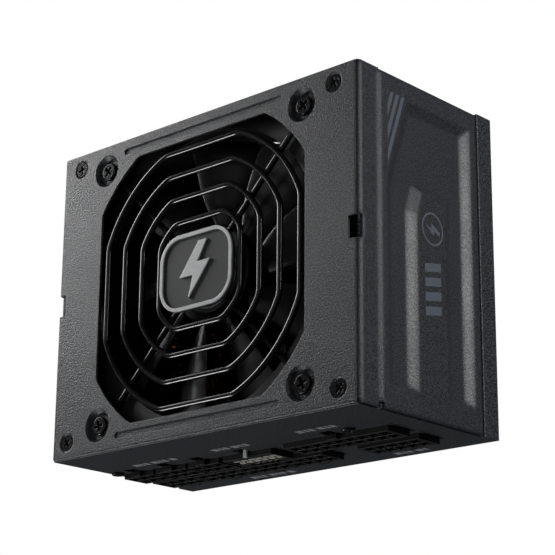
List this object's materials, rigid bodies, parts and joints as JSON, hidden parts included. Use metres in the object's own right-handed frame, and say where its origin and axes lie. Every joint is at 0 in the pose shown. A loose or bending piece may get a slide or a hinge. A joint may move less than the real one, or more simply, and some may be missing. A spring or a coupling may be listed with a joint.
{
  "type": "computer power supply unit",
  "caption": "Small box-shaped modular computer power supply with a fan behind a ring grille, output sockets, mains inlet and rocker switch.",
  "frame": {"origin": "centre of the flat label face that the unit rests on", "axes": "+Z from the label face towards the fan, +Y towards the mains inlet wall, X across the width"},
  "size_m": [0.125, 0.1037, 0.0642],
  "materials": {
    "powder_coat": "fine textured charcoal powder coat",
    "black_screw": "black oxide",
    "plated_screw": "zinc plated",
    "label_film": "satin blank label",
    "fan_plastic": "satin black moulding",
    "blade_plastic": "glossy black moulding",
    "steel": "turned steel",
    "magnet": "bonded magnet",
    "bronze": "sintered bronze",
    "stator_copper": "wound laminations",
    "circuit_board": "dark circuit board",
    "grille_wire": "gloss black wire",
    "badge_metal": "satin silver",
    "lead_rubber": "black insulation",
    "white_plastic": "white nylon",
    "clear_film": "insulating film",
    "film_case": "buff film capacitor case",
    "capacitor_sleeve": "shrunk sleeve",
    "ferrite": "sintered ferrite",
    "winding_tape": "yellow winding tape",
    "chip_plastic": "moulded package",
    "heatsink_aluminium": "sawn extrusion",
    "copper_wire": "enamelled wire",
    "can_aluminium": "drawn can",
    "copper_bar": "tinned copper",
    "socket_plastic": "black nylon",
    "pale_plastic": "pale grey nylon",
    "tinned_contact": "tinned pin",
    "gilt_contact": "gilt pin",
    "nickel_blade": "nickel plated",
    "rocker_plastic": "black rocker"
  },
  "bodies": {
    "case": {"badge_emblem": "badge_metal", "badge_mount": "fan_plastic", "base_shell": "powder_coat", "board_posts": "plated_screw", "board_screws": "plated_screw", "bridge_rectifier": "chip_plastic", "bulk_capacitor": "capacitor_sleeve", "bus_bars": "copper_bar", "control_board": "circuit_board", "cover_screws": "black_screw", "fan_bearing": "bronze", "fan_frame": "fan_plastic", "fan_lead": "lead_rubber", "fan_motor_board": "circuit_board", "fan_panel": "powder_coat", "fan_plug": "white_plastic", "fan_screws": "black_screw", "fan_stator": "stator_copper", "film_capacitor": "film_case", "fine_socket": "socket_plastic", "fine_socket_contacts": "gilt_contact", "fine_socket_latch_bar": "pale_plastic", "graphics_sockets": "socket_plastic", "grille_badge": "badge_metal", "grille_rings": "grille_wire", "grille_spokes": "grille_wire", "inlet_blades": "nickel_blade", "inlet_body": "socket_plastic", "inlet_screws": "plated_screw", "insulating_sheet": "clear_film", "line_chokes": "copper_wire", "main_board": "circuit_board", "mainboard_socket_narrow": "socket_plastic", "mainboard_socket_wide": "socket_plastic", "mains_wires": "lead_rubber", "modular_board": "circuit_board", "modular_screws": "black_screw", "output_capacitors": "capacitor_sleeve", "peripheral_sockets": "socket_plastic", "pfc_choke_core": "ferrite", "pfc_choke_winding": "copper_wire", "polymer_capacitors": "can_aluminium", "power_transistors": "chip_plastic", "primary_heatsink": "heatsink_aluminium", "rating_label": "label_film", "resonant_choke": "ferrite", "secondary_heatsink": "heatsink_aluminium", "side_panel_left": "powder_coat", "side_panel_right": "powder_coat", "socket_contacts": "tinned_contact", "standby_transformer": "winding_tape", "switch_housing": "socket_plastic", "switch_terminals": "nickel_blade", "transformer_core": "ferrite", "transformer_winding": "winding_tape"},
    "fan_wheel": {"fan_rotor": "blade_plastic", "fan_yoke": "steel", "fan_magnet": "magnet", "fan_shaft": "steel"},
    "rocker": {"switch_rocker": "rocker_plastic"}
  },
  "joints": [
    {"name": "fan_spin", "type": "hinge", "parent": "case", "child": "fan_wheel", "pos_m": [0, 0, 0.052], "axis": [0, 0, 1], "continuous": true},
    {"name": "rocker_tilt", "type": "hinge", "parent": "case", "child": "rocker", "pos_m": [-0.034, 0.0478, 0.016], "axis": [0, 0, 1], "range_deg": [0, 18]}
  ]
}
